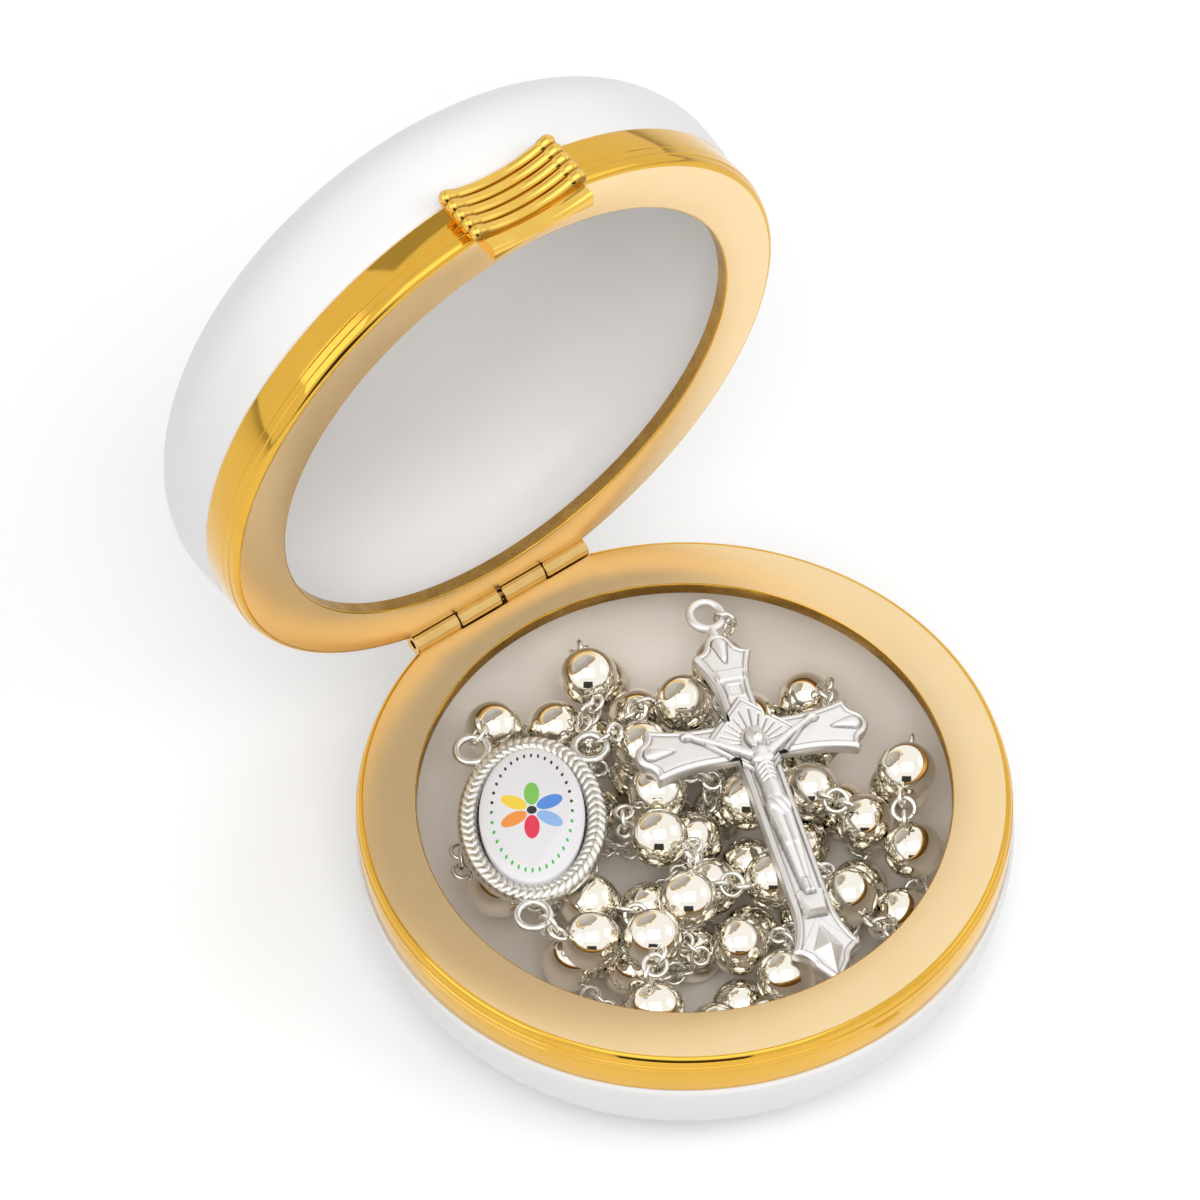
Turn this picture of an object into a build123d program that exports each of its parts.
import os
from math import cos, radians, sin, sqrt

import numpy as np
from build123d import *

# A round hinged keepsake box, 65 mm across, with a rosary lying in it.
# Millimetres, +Z up. The origin is on the ground under the middle of the box.
# X runs along the hinge, +Y points to the hinge and -Y to the clasp.
# The lid stands open, as the box is shown, and closes about +X.

# Driving dimensions
FLANGE_Z = 19.4            # height of the base flange above the ground
BAND_RADIUS = 32.5         # outside of the gilt bands
FLANGE_INNER = 26.5        # opening in the flange
FLANGE_OUTER = 31.75       # where the flat flange turns into its shoulder
FLANGE_THICK = 1.4
BAND_DEPTH = 4.7           # flange face to the lower edge of the band
BAND_WALL = 0.85
STEP_DEPTH = 1.05          # small step under the shoulder
STEP_OUT = 0.12
SEAM_DEPTH = 1.8           # fine seam turned into the band below the step
SEAM_WIDTH = 0.12
SEAM_CUT = 0.08
SEAT_INNER = 29.4          # thicker outer part of the flange, which the hinge is let into
SEAT_DEPTH = 1.75

SHELL_RADIUS = 32.75       # widest part of the porcelain
SHELL_LIP = 32.2           # porcelain where it leaves the band
BOWL_WIDEST = 5.3          # how far below the flange face the bowl is widest
FOOT_RADIUS = 17.75        # flat of the bowl's foot
LID_WIDEST = 9.0           # the lid swells out further from its band
TOP_RADIUS = 19.0          # flat of the lid's top
HOLLOW_RIM = 30.3          # widest part of the hollow
HOLLOW_WIDEST = 5.3
HOLLOW_FLOOR = 17.0        # flat radius of the hollow's floor
HOLLOW_DEPTH = 15.0        # flange face to the floor of the hollow
NECK_INNER = 29.4

CLOSED_GAP = 0.2           # between the two flange faces when shut
OPEN_ANGLE = 84.2          # how far the lid stands open at rest
HINGE_Y = 31.3
HINGE_Z = FLANGE_Z + CLOSED_GAP / 2
BARREL_RADIUS = 1.15
TROUGH_RADIUS = 1.32       # round seat in both mounts that clears the barrel
BARREL_HALF = 10.65
TROUGH_HALF = 10.85
PIN_RADIUS = 0.5
PIN_FIT = 0.03             # radial running clearance in the lid's knuckles
PIN_RECESS = 0.9
KNUCKLE_GAP = 0.15
MIDDLE_GAP = 0.5

CLASP_WIDTH = 11.4
RIB_COUNT = 5
RIB_RADIUS = 0.72
RIB_PITCH = 1.22
RIB_SAG = 1.1              # how far each rib dips in at its middle
CLASP_LIP = 3.3            # reach of the lip below the base flange face
CLASP_CLEAR = 0.65         # air between the lip and the base band
NIB_WIDTH = 3.8
NIB_OUT = 0.4
NIB_DEPTH = 2.3

BEAD_RADIUS = 3.0
BEAD_SIDES = 8
BEAD_RINGS = ((-2.9, 0.8), (-1.9, 2.4), (0.0, 3.0), (1.9, 2.4), (2.9, 0.8))
WIRE = 0.36                # chain wire
HOLE = 0.64                # across the flats of a bead's bore
LOOP_OUTER = 1.06
LOOP_INNER = 0.66
LINK_OUTER = 1.31
LINK_INNER = 0.93
WIRE_SIDES = 8
EYE_SPAN = 8.1             # from eye to eye of one bead's pin
EYE_GAP = 2.24             # from eye to eye across one link
LEAST_REACH = 5.65         # from a bead to the next pin's eye, which limits how far a link folds
BEAD_ROOM = 3.08           # radii of the balls that keep beads, eyes and links apart
EYE_ROOM = 1.14
LINK_ROOM = 1.34
DECADE = 10
DECADES = 5
PENDANT = 5

CROSS_AT = (10.05, 2.16, -2.0)    # crossing, from the middle of the base flange face
CROSS_HEADING = 69.4       # degrees from +X to the top of the crucifix
CROSS_TILT = 3.4           # its foot lies lower than its top
CROSS_ROLL = 6.8           # and its right arm lower than its left
CROSS_THICK = 1.4
# Each end of the cross: half width of the bar, half width across the horns, how far
# out the horns lie, and how far the end reaches
HEAD_END = (1.75, 3.1, 10.75, 13.4)
ARM_END = (2.2, 3.1, 10.3, 12.15)
FOOT_END = (2.0, 3.55, 25.5, 30.0)
FLARE_LENGTH = 5.2
NECK_HALF = 0.75
CROSS_RING_AT = 16.1
CROSS_RING_RADIUS = 1.75
CROSS_WIRE = 0.4
RAY_PLATE_HALF = 5.1
BODY_RISE = 0.35           # how far the middle of the figure lies above the face of the cross
# The figure from shoulders to feet: how far along the cross, half width, half depth
BODY_SECTIONS = (
    (-2.3, 1.35, 1.0), (-6.0, 1.1, 0.9), (-10.0, 1.25, 0.95), (-13.6, 1.0, 0.85), (-18.6, 0.65, 0.7),
)
HEAD_AT = -0.7
HAND_AT = (6.5, 1.3)

MEDAL_AT = (-13.0, 7.8, -2.4)
MEDAL_HEADING = 54.5
MEDAL_HALF = (7.4, 10.2)
MEDAL_THICK = 1.6
INSERT_HALF = (5.25, 8.35)
INSERT_SEAT = 0.6
INSERT_RISE = 0.9
MEDAL_EYES = ((-5.9, 8.9), (5.9, 8.9), (0.0, -11.7))
MEDAL_EYE_RADIUS = 1.6
MEDAL_WIRE = 0.4
MEDAL_PULLS = ((0.3, 0.95, 0), (0.8, 0.6, 0), (0.7, -0.7, 0))   # how the chain leaves each eye
CROSS_PULL = (0.5, -0.17, -0.85)

# Where the beads that can be seen lie, in the order of the chain: x, y, and how
# high each rides, from the middle of the base flange face.
SEEN = (
    (-7, 21, -6), (-1.5, 22, -4.5), (-1.5, 17.5, -6), (3.5, 20.5, -6), (5, 14, -9),
    (9.5, 16, -6), (11, 11, -9), (18.5, 11.5, -8), (22, 3.5, -5), (15.5, -1.5, -6),
    (18, -6.5, -9), (21.5, -6, -5), (17.5, -13.5, -6), (14, -14, -9), (9.5, -18, -9),
    (11.5, -12, -6), (1, -10, -6), (-2.5, -6, -9), (4.5, -4, -9), (2, -0.5, -6),
    (-0.5, 6, -6), (-5.5, -1, -6), (-8.5, -10, -6), (-4, -12, -9), (-4, -20, -6),
    (-10.5, -19, -6), (-18, -13, -6), (-15.5, -7.5, -6), (-13.5, -1, -6),
    (-19.5, 9, -9), (-16, 15.5, -6),
)
UNDER_START, UNDER_TURN = 150, 700     # the rest coils inward under them, degrees
UNDER_OUTER, UNDER_INNER = 20.5, 7.0
UNDER_Z = -11.5
SETTLE_STEPS = 1500

os.makedirs("parts", exist_ok=True)
HINGE_AXIS = Axis((0, HINGE_Y, HINGE_Z), (1, 0, 0))


def save(shape, label):
    shape.label = label
    export_step(shape, f"parts/{label}.step")


def opened(shape):
    """Turn a lid piece from where it lies when shut to where the lid stands open."""
    return shape.rotate(HINGE_AXIS, -OPEN_ANGLE)


def shell_height(depth, side):
    """Height of a point that lies `depth` away from the flange face of one half."""
    face = FLANGE_Z if side < 0 else FLANGE_Z + CLOSED_GAP
    return face + side * depth


# ---------------------------------------------------------------- gilt mounts
def mount_ring(side):
    """Stamped ring: flat flange, rounded shoulder, step, band, and the hinge's seat."""
    def at(radius, depth):
        return (radius, shell_height(depth, side))

    shoulder = STEP_DEPTH - 0.25
    with BuildPart() as ring:
        with BuildSketch(Plane.XZ):
            with BuildLine():
                Polyline(at(FLANGE_INNER, FLANGE_THICK), at(FLANGE_INNER, 0), at(FLANGE_OUTER, 0))
                RadiusArc(at(FLANGE_OUTER, 0), at(BAND_RADIUS - STEP_OUT, shoulder), side * -0.72)
                Polyline(
                    at(BAND_RADIUS - STEP_OUT, shoulder),
                    at(BAND_RADIUS - STEP_OUT, STEP_DEPTH),
                    at(BAND_RADIUS, STEP_DEPTH),
                    at(BAND_RADIUS, SEAM_DEPTH),
                    at(BAND_RADIUS - SEAM_CUT, SEAM_DEPTH),
                    at(BAND_RADIUS - SEAM_CUT, SEAM_DEPTH + SEAM_WIDTH),
                    at(BAND_RADIUS, SEAM_DEPTH + SEAM_WIDTH),
                    at(BAND_RADIUS, BAND_DEPTH),
                    at(BAND_RADIUS - BAND_WALL, BAND_DEPTH),
                    at(BAND_RADIUS - BAND_WALL, SEAT_DEPTH),
                    at(SEAT_INNER, SEAT_DEPTH),
                    at(SEAT_INNER, FLANGE_THICK),
                    at(FLANGE_INNER, FLANGE_THICK),
                )
            make_face()
        revolve(axis=Axis.Z)
        with BuildSketch(Plane.YZ):
            with Locations((HINGE_Y, HINGE_Z)):
                Circle(TROUGH_RADIUS)
            with Locations((HINGE_Y + TROUGH_RADIUS, HINGE_Z)):
                Rectangle(2 * TROUGH_RADIUS, 2 * TROUGH_RADIUS)
        extrude(amount=TROUGH_HALF, both=True, mode=Mode.SUBTRACT)
    return ring.part


def porcelain_shell(side):
    """Cast shell: neck inside the band, full round shoulder, flat foot or top."""
    widest, flat_radius = (BOWL_WIDEST, FOOT_RADIUS) if side < 0 else (LID_WIDEST, TOP_RADIUS)

    def at(radius, depth):
        return (radius, shell_height(depth, side))

    neck = BAND_RADIUS - BAND_WALL
    outer_wide = SHELL_RADIUS - flat_radius
    outer_deep = FLANGE_Z - widest
    inner_wide = HOLLOW_RIM - HOLLOW_FLOOR
    inner_deep = HOLLOW_DEPTH - HOLLOW_WIDEST
    start = 270 if side < 0 else 0
    with BuildPart() as shell:
        with BuildSketch(Plane.XZ):
            with BuildLine():
                Polyline(
                    at(NECK_INNER, SEAT_DEPTH),
                    at(neck, SEAT_DEPTH),
                    at(neck, BAND_DEPTH),
                    at(SHELL_LIP, BAND_DEPTH),
                )
                TangentArc(at(SHELL_RADIUS, widest), at(SHELL_LIP, BAND_DEPTH), tangent=(0, -side))
                middle = at(flat_radius, widest)
                EllipticalCenterArc(middle, outer_wide, outer_deep, start_angle=start, arc_size=90)
                Polyline(
                    at(flat_radius, FLANGE_Z),
                    at(0, FLANGE_Z),
                    at(0, HOLLOW_DEPTH),
                    at(HOLLOW_FLOOR, HOLLOW_DEPTH),
                )
                middle = at(HOLLOW_FLOOR, HOLLOW_WIDEST)
                EllipticalCenterArc(middle, inner_wide, inner_deep, start_angle=start, arc_size=90)
                Line(at(HOLLOW_RIM, HOLLOW_WIDEST), at(NECK_INNER, SEAT_DEPTH))
            make_face()
        revolve(axis=Axis.Z)
    return shell.part


save(mount_ring(-1), "base_mount_ring")
save(opened(mount_ring(1)), "lid_mount_ring")
save(porcelain_shell(-1), "base_bowl")
save(opened(porcelain_shell(1)), "lid_dome")


# ---------------------------------------------------------------- hinge
def knuckles(spans, bore, side):
    """Tubes round the hinge pin, each with its soldered seat in the mount's trough."""
    first_quadrant = 180 if side < 0 else 90
    with BuildPart() as tubes:
        for start, end in spans:
            with BuildSketch(Plane.YZ.offset(start)):
                with Locations((HINGE_Y, HINGE_Z)):
                    Circle(BARREL_RADIUS)
                with BuildLine():
                    middle = (HINGE_Y, HINGE_Z)
                    wall = CenterArc(middle, TROUGH_RADIUS, first_quadrant, 90)
                    Line(middle, wall @ 0)
                    Line(middle, wall @ 1)
                make_face()
                with Locations((HINGE_Y, HINGE_Z)):
                    Circle(bore, mode=Mode.SUBTRACT)
            extrude(amount=end - start)
    return tubes.part


inner_end = BARREL_HALF / 2
base_spans = (
    (-BARREL_HALF, -inner_end - KNUCKLE_GAP / 2),
    (MIDDLE_GAP / 2, inner_end - KNUCKLE_GAP / 2),
)
lid_spans = (
    (-inner_end + KNUCKLE_GAP / 2, -MIDDLE_GAP / 2),
    (inner_end + KNUCKLE_GAP / 2, BARREL_HALF),
)
save(knuckles(base_spans, PIN_RADIUS, -1), "base_hinge_knuckles")
save(opened(knuckles(lid_spans, PIN_RADIUS + PIN_FIT, 1)), "lid_hinge_knuckles")

with BuildPart() as hinge_pin:
    with BuildSketch(Plane.YZ.offset(PIN_RECESS - BARREL_HALF)):
        with Locations((HINGE_Y, HINGE_Z)):
            Circle(PIN_RADIUS)
    extrude(amount=2 * BARREL_HALF - 1.5 * PIN_RECESS)
save(hinge_pin.part, "hinge_pin")


# ---------------------------------------------------------------- clasp
def band_arc(radius, half_width):
    """Front point of a circle round the box, `half_width` to the side."""
    return (half_width, -sqrt(radius**2 - half_width**2))


half = CLASP_WIDTH / 2
rib_top = shell_height(BAND_DEPTH - RIB_RADIUS, 1)
rib_ends = BAND_RADIUS + RIB_SAG + RIB_RADIUS
lip_z = shell_height(CLASP_LIP, -1)
with BuildPart() as clasp:
    # Backing plate, whose front is hollow from side to side
    with BuildSketch(Plane.XY.offset(shell_height(0, 1))):
        with BuildLine():
            inner = ThreePointArc(
                band_arc(BAND_RADIUS, -half), (0, -BAND_RADIUS), band_arc(BAND_RADIUS, half)
            )
            right = Line(inner @ 1, (half, -rib_ends))
            outer = ThreePointArc(right @ 1, (0, -rib_ends + RIB_SAG - 0.35), (-half, -rib_ends))
            Line(outer @ 1, inner @ 0)
        make_face()
    extrude(amount=BAND_DEPTH)
    # Lip that reaches down over the base band, with air behind it
    with BuildSketch(Plane.XY.offset(lip_z)):
        with BuildLine():
            clear = BAND_RADIUS + CLASP_CLEAR
            inner = ThreePointArc(
                band_arc(clear, -half), (0, -clear), band_arc(clear, half)
            )
            right = Line(inner @ 1, (half, -rib_ends - 0.2))
            outer = ThreePointArc(right @ 1, (0, -rib_ends + 0.1), (-half, -rib_ends - 0.2))
            Line(outer @ 1, inner @ 0)
        make_face()
    extrude(amount=shell_height(0, 1) - lip_z)
    # Five ribs, each bowed in at its middle and round at its ends
    for rib in range(RIB_COUNT):
        rib_z = rib_top - rib * RIB_PITCH
        with BuildLine():
            bow = ThreePointArc(
                (-half, -rib_ends, rib_z), (0, -rib_ends + RIB_SAG, rib_z), (half, -rib_ends, rib_z)
            )
        with BuildSketch(Plane(origin=bow @ 0, z_dir=bow % 0)):
            Circle(RIB_RADIUS)
        sweep(path=bow)
        with Locations(bow @ 0, bow @ 1):
            Sphere(RIB_RADIUS + 0.12)
save(opened(clasp.part), "lid_clasp")

with BuildPart() as nib:
    with BuildSketch(Plane.XY.offset(shell_height(NIB_DEPTH + 0.3, -1))):
        with BuildLine():
            seat = ThreePointArc(
                band_arc(BAND_RADIUS, -NIB_WIDTH / 2),
                (0, -BAND_RADIUS),
                band_arc(BAND_RADIUS, NIB_WIDTH / 2),
            )
            ThreePointArc(seat @ 0, (0, -BAND_RADIUS - NIB_OUT), seat @ 1)
        make_face()
    extrude(amount=0.6)
save(nib.part, "base_catch_nib")


# ---------------------------------------------------------------- crucifix
heading = radians(CROSS_HEADING)
tilt = radians(CROSS_TILT)
roll = radians(CROSS_ROLL)
cross_up = Vector(cos(heading) * cos(tilt), sin(heading) * cos(tilt), sin(tilt))
level_right = Vector(sin(heading), -cos(heading), 0)
level_out = level_right.cross(cross_up)
cross_right = level_right * cos(roll) - level_out * sin(roll)
cross_origin = Vector(*CROSS_AT) + Vector(0, 0, FLANGE_Z)
cross_plane = Plane(origin=cross_origin, x_dir=cross_right, z_dir=cross_right.cross(cross_up))


def flared_end(bar_half, horn_half, horn_at, reach, pointed):
    """Outline of one flared end of the cross: two horns and a middle lobe, along +Y."""
    flare_at = horn_at - FLARE_LENGTH
    lobe_half = horn_half / 2
    lobe_at = horn_at + 0.45 * (reach - horn_at)
    notch = (horn_half - 0.3, horn_at + 0.35)
    with BuildLine() as outline:
        ThreePointArc(
            (bar_half, flare_at),
            (bar_half + 0.3 * (horn_half - bar_half), horn_at - 0.45 * FLARE_LENGTH),
            (horn_half, horn_at),
        )
        Line((horn_half, horn_at), notch)
        ThreePointArc(notch, (lobe_half + 0.35, (notch[1] + lobe_at) / 2 - 0.1), (lobe_half, lobe_at))
        if pointed:
            Line((lobe_half, lobe_at), (0, reach))
        else:
            ThreePointArc((lobe_half, lobe_at), (0.7 * lobe_half, (lobe_at + reach) / 2 + 0.1), (0, reach))
        Polyline((0, reach), (0, 0), (bar_half, 0), (bar_half, flare_at))
    return outline.line


with BuildPart() as crucifix:
    with BuildSketch(cross_plane.offset(-CROSS_THICK / 2)):
        ends = ((0, HEAD_END), (90, ARM_END), (180, FOOT_END), (270, ARM_END))
        for turn, sizes in ends:
            with BuildSketch(mode=Mode.PRIVATE) as one_end:
                add(flared_end(*sizes, pointed=turn == 180))
                make_face()
                mirror(about=Plane.YZ)
            add(one_end.sketch.rotate(Axis.Z, turn))
        neck_length = CROSS_RING_AT - CROSS_RING_RADIUS - HEAD_END[2]
        with Locations((0, HEAD_END[2])):
            Rectangle(2 * NECK_HALF, neck_length, align=(Align.CENTER, Align.MIN))
    extrude(amount=CROSS_THICK)
    # Diamond plate with a raised rim behind the figure
    with BuildSketch(cross_plane.offset(CROSS_THICK / 2)):
        Rectangle(RAY_PLATE_HALF * sqrt(2), RAY_PLATE_HALF * sqrt(2), rotation=45)
    extrude(amount=0.35)
    # Bare title plate above it
    with BuildSketch(cross_plane.offset(CROSS_THICK / 2)):
        with Locations((0, 8.0)):
            Rectangle(3.2, 1.5)
    extrude(amount=0.3)
    # Foot block and the cut diamond below it
    with BuildSketch(cross_plane.offset(CROSS_THICK / 2)):
        with Locations((0, -20.4)):
            Trapezoid(2.9, 3.1, 98, rotation=180)
    extrude(amount=1.1)
    with BuildSketch(cross_plane.offset(CROSS_THICK / 2)):
        with BuildLine():
            Polyline((0, -22.9), (1.5, -25.8), (0, -28.7), (-1.5, -25.8), (0, -22.9))
        make_face()
    extrude(amount=0.9, taper=50)
    # The figure: trunk, legs, head and raised arms
    body_z = CROSS_THICK / 2 + BODY_RISE
    for along, half_width, half_depth in BODY_SECTIONS:
        section_at = cross_plane.from_local_coords((0, along, body_z))
        with BuildSketch(Plane(origin=section_at, x_dir=cross_right, z_dir=-cross_up)):
            Ellipse(half_width, half_depth)
    loft(ruled=True)
    with Locations(cross_plane.from_local_coords((0, HEAD_AT, body_z + 0.35))):
        Sphere(1.15)
    for side in (-1, 1):
        shoulder = cross_plane.from_local_coords((side * 0.9, BODY_SECTIONS[0][0] - 0.3, body_z + 0.1))
        hand = cross_plane.from_local_coords((side * HAND_AT[0], HAND_AT[1], body_z + 0.1))
        with BuildSketch(Plane(origin=shoulder, z_dir=hand - shoulder)):
            Circle(0.6)
        with BuildSketch(Plane(origin=hand, z_dir=hand - shoulder)):
            Circle(0.4)
        loft()
    # Ring cast on the top
    with Locations(cross_plane * Location((0, CROSS_RING_AT, 0))):
        Torus(CROSS_RING_RADIUS, CROSS_WIRE)
save(crucifix.part, "crucifix")


# ---------------------------------------------------------------- centre medal
heading = radians(MEDAL_HEADING)
medal_plane = Plane(
    origin=Vector(*MEDAL_AT) + Vector(0, 0, FLANGE_Z),
    x_dir=(sin(heading), -cos(heading), 0),
    z_dir=(0, 0, 1),
)
with BuildPart() as medal:
    with BuildSketch(medal_plane.offset(-MEDAL_THICK / 2)):
        Ellipse(*MEDAL_HALF)
    extrude(amount=MEDAL_THICK)
    fillet(medal.edges(), radius=0.6)
    with BuildSketch(medal_plane.offset(MEDAL_THICK / 2 - INSERT_SEAT)):
        Ellipse(*INSERT_HALF)
    extrude(amount=INSERT_SEAT, mode=Mode.SUBTRACT)
    with Locations(*[medal_plane * Location((x, y, 0)) for x, y in MEDAL_EYES]):
        Torus(MEDAL_EYE_RADIUS, MEDAL_WIRE)
save(medal.part, "centre_medal")

with BuildPart() as insert:
    with BuildSketch(medal_plane.offset(MEDAL_THICK / 2 - INSERT_SEAT)):
        Ellipse(*INSERT_HALF)
    extrude(amount=INSERT_SEAT)
    for share in (1.0, 0.93, 0.75, 0.45):
        rise = INSERT_RISE * sqrt(1 - share**2)
        with BuildSketch(medal_plane.offset(MEDAL_THICK / 2 + rise)):
            Ellipse(INSERT_HALF[0] * share, INSERT_HALF[1] * share)
    loft(ruled=True)
save(insert.part, "medal_insert")


# ---------------------------------------------------------------- chain
def flat(point):
    """A point as an array, with its height taken from the base flange face."""
    return np.array([point.X, point.Y, point.Z - FLANGE_Z])


def unit(vector):
    return vector / np.linalg.norm(vector)


def hanging_points():
    """Where a link hooks over each eye of the medal and the cross, the next eye, and the bar."""
    points = []
    eyes = [(medal_plane, eye, pull, MEDAL_EYE_RADIUS, MEDAL_WIRE)
            for eye, pull in zip(MEDAL_EYES, MEDAL_PULLS)]
    eyes.append((cross_plane, (0, CROSS_RING_AT), CROSS_PULL, CROSS_RING_RADIUS, CROSS_WIRE))
    for plane, eye, pull, radius, wire in eyes:
        along = Vector(*pull).normalized()
        outward = Vector(along.X, along.Y, 0).normalized()
        through = Vector(*eye, 0) + outward * radius - along * (wire + WIRE)
        after = through + along * EYE_GAP
        bar = plane.from_local_coords(Vector(-outward.Y, outward.X, 0)) - plane.origin
        points.append((
            flat(plane.from_local_coords(through)),
            flat(plane.from_local_coords(after)),
            np.array(tuple(bar)),
        ))
    return points


def chain_places():
    """Rough places of the beads along the two runs of the chain."""
    under = []
    count = DECADE * DECADES + DECADES - 1 - len(SEEN)
    for index in range(count):
        share = (index + 0.5) / count
        angle = radians(UNDER_START + UNDER_TURN * share)
        radius = UNDER_OUTER + (UNDER_INNER - UNDER_OUTER) * share
        under.append((radius * cos(angle), radius * sin(angle), UNDER_Z))
    main = np.array(SEEN + tuple(under), float)
    start, end = hanging[2][1], hanging[3][1]
    share = (np.arange(PENDANT)[:, None] + 0.6) / (PENDANT + 0.2)
    pendant = start + share * (end - start)
    pendant[:, 2] = UNDER_Z + 2.5
    return main, pendant


def keep_inside(points, radius):
    """How far each ball has to move to lie in the hollow and under medal and cross."""
    reach = np.hypot(points[:, 0], points[:, 1])
    outward = points[:, :2] / np.maximum(reach, 1e-6)[:, None]
    depth = -points[:, 2]
    move = np.zeros_like(points)
    # Inside the cylinder that lifts out through the flange
    move[:, :2] -= outward * np.clip(reach - (FLANGE_INNER - 0.6 - radius), 0, None)[:, None]
    # Clear of the hollow's rounded floor
    past_floor = np.clip(reach - HOLLOW_FLOOR, 0, None)
    past_wide = np.clip(depth - HOLLOW_WIDEST, 0, None)
    room = (HOLLOW_RIM - HOLLOW_FLOOR - radius, HOLLOW_DEPTH - HOLLOW_WIDEST - radius)
    ratio = np.hypot(past_floor / room[0], past_wide / room[1])
    excess = np.where(ratio > 1, 1 - 1 / np.maximum(ratio, 1e-6), 0)
    move[:, :2] -= outward * (past_floor * excess)[:, None]
    move[:, 2] += past_wide * excess
    # Below the medal, the cross, and elsewhere the flange face
    ceiling = np.full(len(points), -0.6 - radius)
    edge = 0.8 * radius
    for plane, thick in ((medal_plane, MEDAL_THICK), (cross_plane, CROSS_THICK)):
        origin = flat(plane.origin)
        right = np.array(tuple(plane.x_dir))
        along = np.array(tuple(plane.y_dir))
        across = (points[:, :2] - origin[:2]) @ unit(right[:2])
        upward = (points[:, :2] - origin[:2]) @ unit(along[:2])
        if plane is medal_plane:
            under = np.hypot(across / (7.8 + edge), upward / (10.6 + edge)) < 1
        else:
            stem = (abs(across) < FOOT_END[1] + edge) & (upward > -FOOT_END[3] - radius)
            stem &= upward < CROSS_RING_AT + CROSS_RING_RADIUS
            arms = (abs(across) < ARM_END[3] + edge) & (abs(upward) < ARM_END[1] + edge)
            under = stem | arms
        surface = origin[2] + upward * along[2] + across * right[2] - thick / 2 - 0.2
        ceiling = np.where(under, np.minimum(ceiling, surface - radius), ceiling)
    move[:, 2] -= np.clip(points[:, 2] - ceiling, 0, None)
    return move


def reach_out(hook, middle):
    """How far a bead beside a hook has to move to leave its link room."""
    span = middle - hook
    length = np.linalg.norm(span)
    return span / length * max(0.0, LEAST_REACH - length)


def settle():
    """Let the chain lie in the bowl: every bead a ball on a stiff pin with an eye at each end.

    Pins keep their length, neighbouring eyes keep the length of a link apart, balls push
    each other apart, and what can be seen is drawn to where it is seen.
    """
    main, pendant = chain_places()
    middles = np.vstack([main, pendant])
    held = [after for _, after, _ in hanging]
    before = np.vstack([[held[0]], main[:-1], [held[2]], pendant[:-1]])
    after = np.vstack([main[1:], [held[1]], pendant[1:], [held[3]]])
    direction = (after - before) / np.linalg.norm(after - before, axis=1)[:, None]
    head = middles - direction * EYE_SPAN / 2
    tail = middles + direction * EYE_SPAN / 2
    count = len(middles)
    seen = np.arange(count) < len(SEEN)
    hooks = [through for through, _, _ in hanging]
    runs = (
        (0, len(main), held[0], held[1], hooks[0], hooks[1]),
        (len(main), count, held[2], held[3], hooks[2], hooks[3]),
    )

    # Least distances between bead, head eye, tail eye and link of every pair
    radii = np.repeat([BEAD_ROOM, EYE_ROOM, EYE_ROOM, LINK_ROOM], count)
    least = radii[:, None] + radii[None]
    own = np.arange(count)
    for a in range(4):
        for b in range(4):
            least[own + a * count, own + b * count] = 0
    follows = own[:-1][own[:-1] != len(main) - 1]
    for a, b in ((3, 0), (3, 1)):
        least[follows + a * count, follows + 1 + b * count] = 0
        least[follows + 1 + b * count, follows + a * count] = 0
    for a, b, reach in ((2, 1, EYE_GAP - 0.1), (0, 1, LEAST_REACH)):
        least[follows + a * count, follows + 1 + b * count] = reach
        least[follows + 1 + b * count, follows + a * count] = reach
    least[follows + 1, follows + 2 * count] = LEAST_REACH
    least[follows + 2 * count, follows + 1] = LEAST_REACH

    for step in range(SETTLE_STEPS):
        ease = max(0.0, 1 - step / (SETTLE_STEPS * 0.8))
        pull = np.zeros_like(middles)
        pull[seen] = (middles - (head + tail) / 2)[seen] * 0.08 * ease
        pull[~seen, 2] -= 0.02 * ease
        head += pull
        tail += pull
        for _ in range(2):
            span = tail - head
            length = np.linalg.norm(span, axis=1)[:, None]
            fix = span * (length - EYE_SPAN) / length / 2
            head += fix
            tail -= fix
            for first, last, start, end, start_hook, end_hook in runs:
                span = head[first + 1:last] - tail[first:last - 1]
                length = np.linalg.norm(span, axis=1)[:, None] + 1e-9
                fix = span * (length - EYE_GAP) / length / 2
                tail[first:last - 1] += fix
                head[first + 1:last] -= fix
                head[first] = start
                tail[last - 1] = end
                tail[first] += 2 * reach_out(start_hook, (head[first] + tail[first]) / 2)
                head[last - 1] += 2 * reach_out(end_hook, (head[last - 1] + tail[last - 1]) / 2)
        following = np.vstack([head[1:], tail[-1:]])
        following[len(main) - 1] = tail[len(main) - 1]
        balls = np.vstack([(head + tail) / 2, head, tail, (tail + following) / 2])
        apart = balls[:, None] - balls[None]
        distance = np.linalg.norm(apart, axis=2) + 1e-9
        push = ((apart / distance[:, :, None]) * np.clip(least - distance, 0, None)[:, :, None]).sum(1)
        push *= 0.35
        head += push[:count] + push[count:2 * count]
        tail += push[:count] + push[2 * count:3 * count]
        link_push = push[3 * count:] / 2
        tail += link_push
        head[1:] += link_push[:-1]
        bead_move = keep_inside((head + tail) / 2, BEAD_RADIUS + 0.1)
        head += bead_move
        tail += bead_move
        head += keep_inside(head, LOOP_OUTER + 0.1)
        tail += keep_inside(tail, LOOP_OUTER + 0.1)
    for first, last, start, end, _, _ in runs:
        head[first] = start
        tail[last - 1] = end
    worst = np.clip(least - distance, 0, None).max()
    print("chain settled, closest pair short by", round(float(worst), 3), "mm")
    lift = np.array([0, 0, FLANGE_Z])
    return head + lift, tail + lift, len(main)


def square_to(vector, axis):
    """The part of a direction that is square to an axis."""
    return unit(vector - axis * (vector @ axis))


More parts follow.
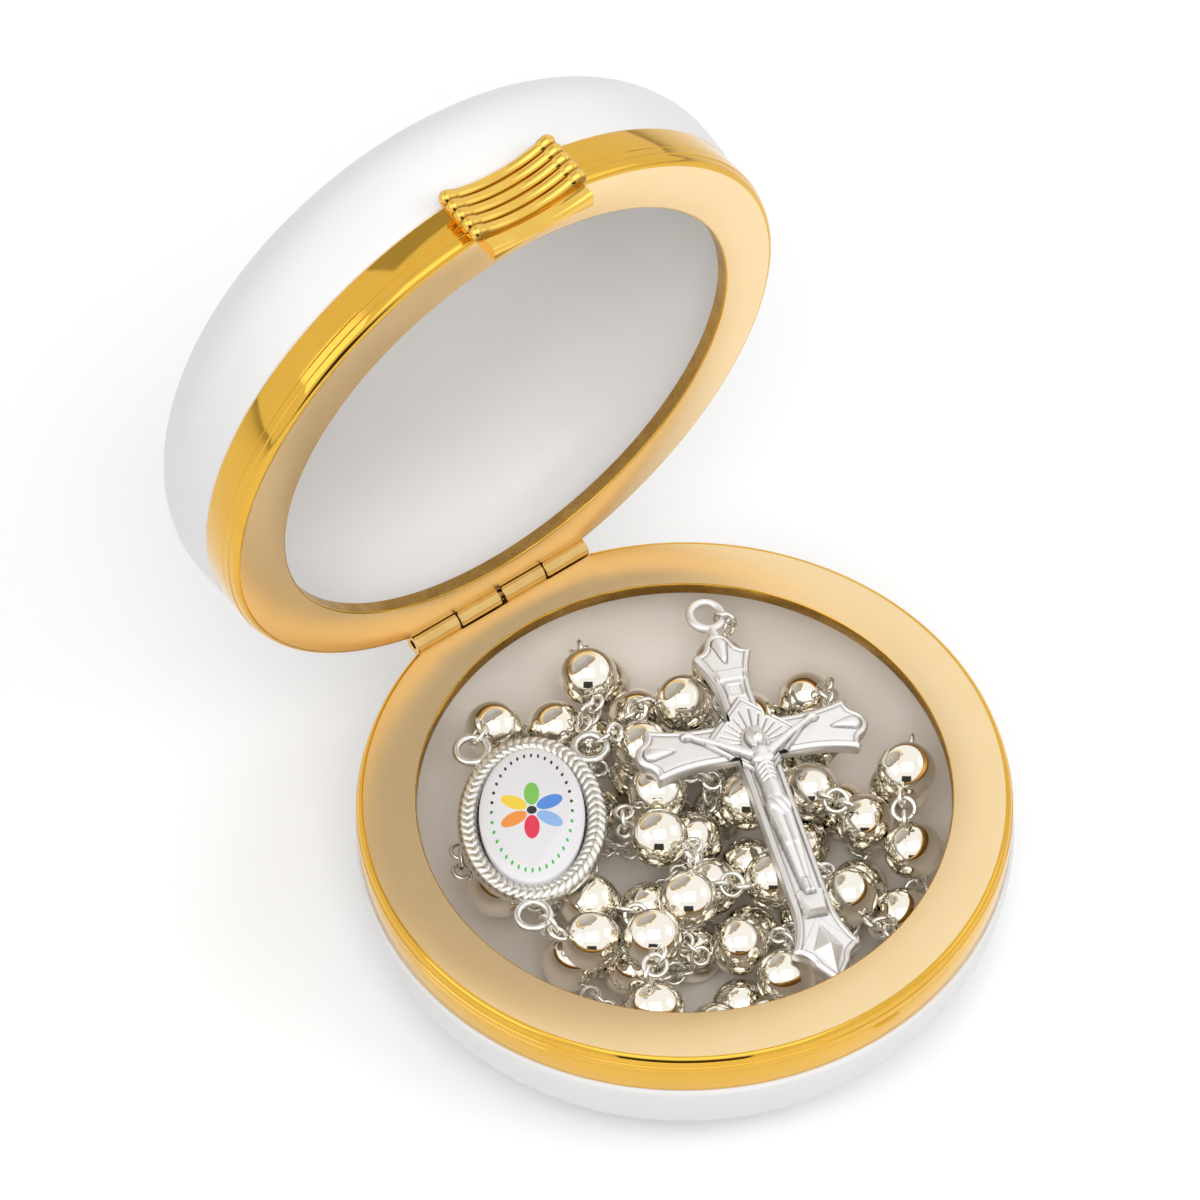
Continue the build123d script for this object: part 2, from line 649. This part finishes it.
def plane_at(origin, x_dir, z_dir):
    return Plane(origin=tuple(origin), x_dir=tuple(x_dir), z_dir=tuple(z_dir))


# One bead, one link and half an eye pin, each on its own axes, to be placed along the chain
with BuildPart() as bead:
    for height, radius in BEAD_RINGS:
        with BuildSketch(Plane.XY.offset(height)):
            RegularPolygon(radius, BEAD_SIDES)
    loft(ruled=True)
    with BuildSketch():
        RegularPolygon(HOLE / 2, BEAD_SIDES, major_radius=False)
    extrude(amount=BEAD_RADIUS, both=True, mode=Mode.SUBTRACT)

with BuildPart() as link:
    with BuildSketch():
        RegularPolygon(LINK_OUTER, WIRE_SIDES)
        RegularPolygon(LINK_INNER, WIRE_SIDES, mode=Mode.SUBTRACT)
    extrude(amount=WIRE / 2, both=True)

with BuildPart() as half_pin:
    with BuildSketch():
        Rectangle(WIRE, WIRE)
    extrude(amount=EYE_SPAN / 2 - (LOOP_OUTER + LOOP_INNER) / 2 + 0.1)
    with BuildSketch(Plane.YZ):
        with Locations((0, EYE_SPAN / 2)):
            RegularPolygon(LOOP_OUTER, WIRE_SIDES)
            RegularPolygon(LOOP_INNER, WIRE_SIDES, mode=Mode.SUBTRACT)
    extrude(amount=WIRE / 2, both=True)


def beads(indices):
    """Faceted beads with a bore for the pin."""
    places = [plane_at(bead_middle[i], eye_normal[i][0], pin_axis[i]) for i in indices]
    return Compound(children=[bead.part.moved(Location(place)) for place in places])


def eye_pins(indices):
    """A straight wire through each bead, turned into an eye at both ends."""
    pins = []
    for i in indices:
        head_half = plane_at(bead_middle[i], eye_normal[i][0], -pin_axis[i])
        tail_half = plane_at(bead_middle[i], eye_normal[i][1], pin_axis[i])
        pins.append(
            half_pin.part.moved(Location(head_half)) + half_pin.part.moved(Location(tail_half))
        )
    return Compound(children=pins)


def links(indices):
    """The round link before each bead, or after the last bead of a run."""
    places = [plane_at(*link_frame[i]) for i in indices]
    return Compound(children=[link.part.moved(Location(place)) for place in places])


hanging = hanging_points()
head, tail, main_count = settle()
bead_count = len(head)
pin_axis = [unit(tail[i] - head[i]) for i in range(bead_count)]
bead_middle = (head + tail) / 2
hung = [through + np.array([0, 0, FLANGE_Z]) for through, _, _ in hanging]
bars = [bar for _, _, bar in hanging]


def joint_frame(first_eye, second_eye, first_axis, second_axis):
    """Middle, long way and normal of the link between two eyes, and how it passes through them.

    The link turns about its long way until it is as square as it can be to both wires.
    """
    across = unit(second_eye - first_eye)
    level = np.cross(across, (0.0, 0.0, 1.0))
    side = unit(level + (1e-6, 0.0, 0.0))
    turns = np.radians(np.arange(180))
    choices = np.outer(np.cos(turns), side) + np.outer(np.sin(turns), np.cross(across, side))
    slants = np.maximum(abs(choices @ first_axis), abs(choices @ second_axis))
    through = choices[np.argmin(slants)]
    return (first_eye + second_eye) / 2, across, np.cross(across, through), through


link_frame = []
eye_normal = [[None, None] for _ in range(bead_count)]
for index in range(bead_count):
    if index == 0:
        joint = joint_frame(hung[0], head[0], bars[0], pin_axis[0])
    elif index == main_count:
        joint = joint_frame(hung[2], head[index], bars[2], pin_axis[index])
    else:
        joint = joint_frame(tail[index - 1], head[index], pin_axis[index - 1], pin_axis[index])
        eye_normal[index - 1][1] = square_to(joint[3], pin_axis[index - 1])
    eye_normal[index][0] = square_to(joint[3], pin_axis[index])
    link_frame.append(joint[:3])
last_main = main_count - 1
last_pendant = bead_count - 1
for index, hook in ((last_main, 1), (last_pendant, 3)):
    joint = joint_frame(tail[index], hung[hook], pin_axis[index], bars[hook])
    eye_normal[index][1] = square_to(joint[3], pin_axis[index])
    link_frame.append(joint[:3])

single_beads = [DECADE + (DECADE + 1) * k for k in range(DECADES - 1)]
single_beads += [main_count, last_pendant]
for decade in range(DECADES):
    first = decade * (DECADE + 1)
    ten = list(range(first, first + DECADE))
    save(beads(ten), f"decade_{decade + 1}_beads")
    save(eye_pins(ten), f"decade_{decade + 1}_eye_pins")
    save(links([i for i in ten if i > 0]), f"decade_{decade + 1}_links")
three = list(range(main_count + 1, last_pendant))
save(beads(single_beads), "our_father_beads")
save(eye_pins(single_beads), "our_father_eye_pins")
save(beads(three), "pendant_beads")
save(eye_pins(three), "pendant_eye_pins")
save(links([i for i in single_beads + three if i != main_count]), "single_bead_links")
save(links([0, main_count, bead_count]), "medal_links")
save(links([bead_count + 1]), "crucifix_link")
